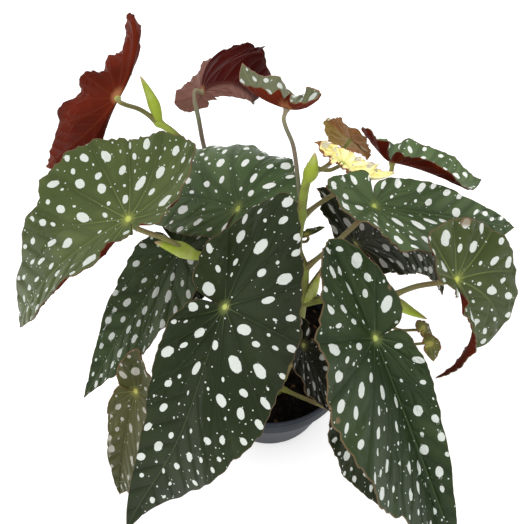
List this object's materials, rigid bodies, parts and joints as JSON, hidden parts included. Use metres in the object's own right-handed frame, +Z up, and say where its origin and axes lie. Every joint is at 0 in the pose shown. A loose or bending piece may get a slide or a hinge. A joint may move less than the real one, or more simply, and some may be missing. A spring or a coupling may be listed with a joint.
{
  "type": "potted plant",
  "caption": "Potted polka dot begonia: angel-wing leaves on slim stalks and jointed canes with pointed sheaths, rooted in soil in a low round nursery pot",
  "frame": {"origin": "centre of the pot's underside, on the floor plane", "axes": "+Z is up; -Y is the front of the plant, where its two largest leaves hang; +X is to its right"},
  "size_m": [0.2623, 0.2575, 0.2817],
  "materials": {
    "leaf_green": "thin living leaf, satin dark green above with silvery white spots, red beneath",
    "leaf_olive": "thin living leaf, lighter olive green above with silvery white spots, red beneath",
    "leaf_red": "thin living leaf seen mostly from its deep red-brown underside",
    "leaf_young": "thin young leaf, pale yellow-olive with pinkish margins",
    "pot": "moulded dark slate-grey plastic, slightly satin",
    "soil": "dark, moist, bark-based potting mix",
    "stem": "smooth olive-green living stems, tan at the nodes"
  },
  "bodies": {
    "root": {"cane_back": "stem", "cane_left": "stem", "cane_main": "stem", "leaf_back_centre": "leaf_red", "leaf_back_left": "leaf_red", "leaf_back_right": "leaf_green", "leaf_front_left": "leaf_green", "leaf_front_right": "leaf_green", "leaf_left": "leaf_olive", "leaf_left_low": "leaf_green", "leaf_low_centre": "leaf_green", "leaf_low_left": "leaf_olive", "leaf_low_right": "leaf_green", "leaf_right": "leaf_olive", "leaf_right_mid": "leaf_green", "leaf_right_top": "leaf_green", "leaf_shaded_left": "leaf_green", "leaf_shaded_right": "leaf_green", "leaf_small_lower": "leaf_olive", "leaf_small_upper": "leaf_olive", "leaf_sprig": "leaf_green", "leaf_upper_centre": "leaf_green", "leaf_young_crumpled": "leaf_young", "leaf_young_pale": "leaf_young", "pot": "pot", "shoot_front": "stem", "shoot_left": "stem", "soil": "soil"}
  },
  "joints": []
}
